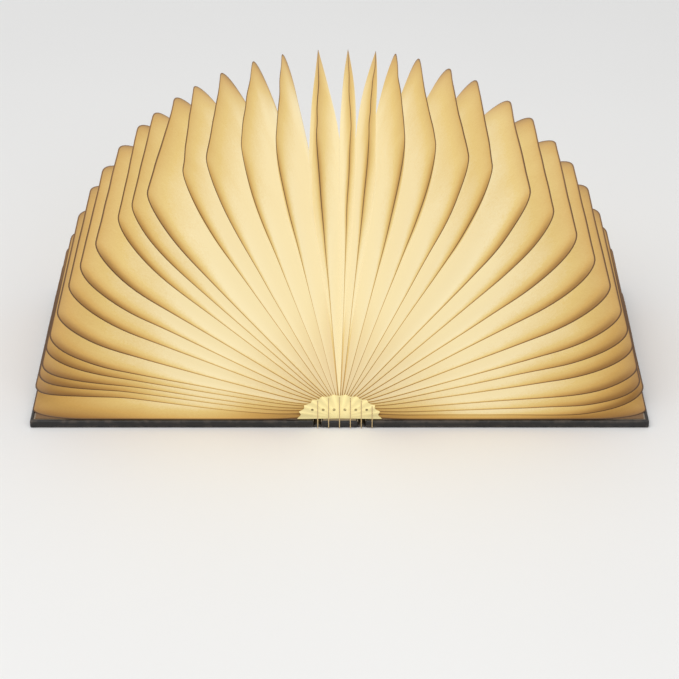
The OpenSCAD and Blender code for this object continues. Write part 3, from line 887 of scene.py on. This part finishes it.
def thread_piece(name, x, front, material):
    """A three-ply thread from the gathered end down its face, over the cover's edge."""
    rim = FOLD_END_FOOT + FOLD_END_HEIGHT * math.sqrt(1 - (x / FOLD_END_HALF) ** 2)
    top, level = rim - THREAD_UNDER_RIM, ENDPAPER_TOP + THREAD_D
    face, edge = FOLD_END_FACE + THREAD_D, THREAD_EDGE
    face_top, face_foot = top - 0.7 * MM, level + 0.8 * MM
    edge_top, edge_foot = level - 0.9 * MM, 0.3 * MM
    route = [(face - 0.9 * MM, top), (face - 0.3 * MM, top), (face, face_top)]
    route += [(face, face_top + (face_foot - face_top) * k / 10) for k in range(1, 11)]
    route += [(face + 0.25 * MM, level + 0.2 * MM), (face + 0.8 * MM, level),
              (edge - 0.8 * MM, level), (edge - 0.2 * MM, level - 0.25 * MM), (edge, edge_top)]
    route += [(edge, edge_top + (edge_foot - edge_top) * k / 5) for k in range(1, 6)]
    points = [Vector((x, front * y, z)) for y, z in route]
    bm = bmesh.new()
    around = 12
    rings = [bmesh.ops.create_circle(bm, segments=around, radius=1.0)["verts"] for _ in points]
    side, twist = Vector((1, 0, 0)), 0.0
    for k, (here, verts) in enumerate(zip(points, rings)):
        ahead = points[min(k + 1, len(points) - 1)] - points[max(k - 1, 0)]
        ahead.normalize()
        up = ahead.cross(side)
        if k:
            twist += (here - points[k - 1]).length / PLY_PITCH
        for m, vert in enumerate(verts):
            a = 2 * math.pi * m / around
            r = THREAD_D / 2 * (0.9 + 0.1 * math.cos(THREAD_PLIES * (a - twist)))
            vert.co = here + (side * math.cos(a) + up * math.sin(a)) * r
    for first, second in zip(rings, rings[1:]):
        for m in range(around):
            n = (m + 1) % around
            bm.faces.new((first[m], first[n], second[n], second[m]))
    bm.faces.new(rings[0])
    bm.faces.new(rings[-1])
    for side_face in bm.faces:
        side_face.smooth = True
    bmesh.ops.recalc_face_normals(bm, faces=bm.faces)
    return piece_from(bm, name, material)


def make_threads(material):
    socket_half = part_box("charge_socket")[1].x
    for end, front in (("near", -1), ("far", 1)):
        for k in range(THREAD_COUNT):
            x = (k + 1 - THREAD_COUNT / 2) * THREAD_PITCH
            if end == "far" and abs(x) < socket_half:
                continue
            piece = thread_piece(f"{end}_thread_{k + 1}", x, front, material)
            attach(piece, "spine")
            if abs(x) > 1 * MM:
                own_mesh(piece)
            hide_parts("binding_threads")


# ---- pieces that keep their shape ----

def dress_nodes():
    board = paper_or_board("grey_board", (0.30, 0.25, 0.19, 1), 500.0, 0.12, 0.85, 0.0002)
    endpaper = paper_or_board("brown_endpaper", (0.20, 0.115, 0.052, 1), 520.0, 0.08, 0.7, 0.0001)
    opal = hard_finish("opal_plastic", (0.9, 0.86, 0.78, 1), 0.4)
    diffuser = hard_finish("lit_diffuser", (0.9, 0.8, 0.6, 1), 0.5,
                           Emission_Color=(1.0, 0.78, 0.45, 1), Emission_Strength=1.0)
    lamp = hard_finish("warm_light", (0.9, 0.7, 0.3, 1), 0.3,
                       Emission_Color=(1.0, 0.72, 0.35, 1), Emission_Strength=3.0)
    circuit = hard_finish("green_circuit_board", (0.02, 0.13, 0.06, 1), 0.35)
    steel = hard_finish("nickel_steel", (0.62, 0.61, 0.59, 1), 0.3, 1.0)
    foil = hard_finish("battery_foil", (0.5, 0.52, 0.55, 1), 0.35, 0.8, 400.0, 0.0001)
    black = hard_finish("black_plastic", (0.02, 0.02, 0.02, 1), 0.4)
    band = woven("band_cloth", (0.78, 0.66, 0.44, 1), 0.0007, 0.8)
    finishes = {
        "spine_board": board, "left_cover_board": board, "right_cover_board": board,
        "left_endpaper": endpaper, "right_endpaper": endpaper, "light_channel": opal,
        "diffuser": diffuser, "leds": lamp, "led_board": circuit, "charge_board": circuit,
        "channel_screws": steel, "charge_socket": steel, "left_magnets": steel,
        "right_magnets": steel, "battery": foil, "lid_sensor": black, "binding_band": band,
    }
    for name, finish in finishes.items():
        for place in frame["nodes"][name].material_slots:
            place.material = finish


# ---- camera, floor and light ----

def make_camera():
    distance, rise, tilt = 1.448, math.radians(30.44), math.radians(28.57)
    data = bpy.data.cameras.new("camera")
    data.lens, data.sensor_width = 129.1, 36.0
    camera = bpy.data.objects.new("camera", data)
    camera.location = (0, -PAGE_HALF - distance * math.cos(rise),
                       5 * MM + distance * math.sin(rise))
    camera.rotation_euler = (math.pi / 2 - tilt, 0, 0)
    bpy.context.scene.collection.objects.link(camera)
    bpy.context.scene.camera = camera


def make_floor():
    bm = bmesh.new()
    bmesh.ops.create_grid(bm, x_segments=1, y_segments=1, size=20.0)
    made, tree, shader = finish_of("pale_floor", 0.75)
    soft = cloud(tree, own_place(tree), 3.0, 2.0)
    tone = step_between(tree, soft, 0.3, 0.7, 0.985, 1.0)
    tree.links.new(shaded(tree, (0.86, 0.86, 0.855, 1), tone), shader.inputs["Base Color"])
    floor = piece_from(bm, "floor", made)


def make_light():
    """An even pale room, brighter where the camera sees it than where it lights, and two lamps."""
    room_light, room_seen = 0.64, 0.93
    scene = bpy.context.scene
    scene.view_settings.view_transform = "Standard"
    world = bpy.data.worlds.new("studio")
    world.use_nodes = True
    tree = world.node_tree
    background = tree.nodes["Background"]
    path = node(tree, "ShaderNodeLightPath").outputs
    seen = calc(tree, "MAXIMUM", path["Is Camera Ray"],
                calc(tree, "MAXIMUM", path["Is Glossy Ray"], path["Is Transmission Ray"]))
    tree.links.new(step_between(tree, seen, 0.0, 1.0, room_light, room_seen),
                   background.inputs["Strength"])
    background.inputs["Color"].default_value = (1, 1, 1, 1)
    scene.world = world
    for name, place, power, size in (("top_lamp", (-0.5, -0.7, 1.9), 15.5, 1.6),
                                     ("front_lamp", (0.9, -1.6, 1.3), 6.0, 1.2)):
        data = bpy.data.lights.new(name, "AREA")
        data.energy, data.size = power, size
        lamp = bpy.data.objects.new(name, data)
        lamp.location = place
        lamp.rotation_euler = (-Vector(place)).to_track_quat("-Z", "Y").to_euler()
        scene.collection.objects.link(lamp)


ENDPAPER_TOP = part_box("right_endpaper")[1].z
COVER_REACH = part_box("right_cover_cloth")[1].x
FOLD_END_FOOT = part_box("near_fold_end")[0].z

make_camera()
make_floor()
make_light()
dress_nodes()
make_covers()
make_hinge_cloths()
gathered = gathered_paper()
make_fold_ends(gathered)
make_threads(woven("spun_thread", (0.62, 0.46, 0.24, 1), 0.0003, 0.75))
make_pages(lit_page_paper())
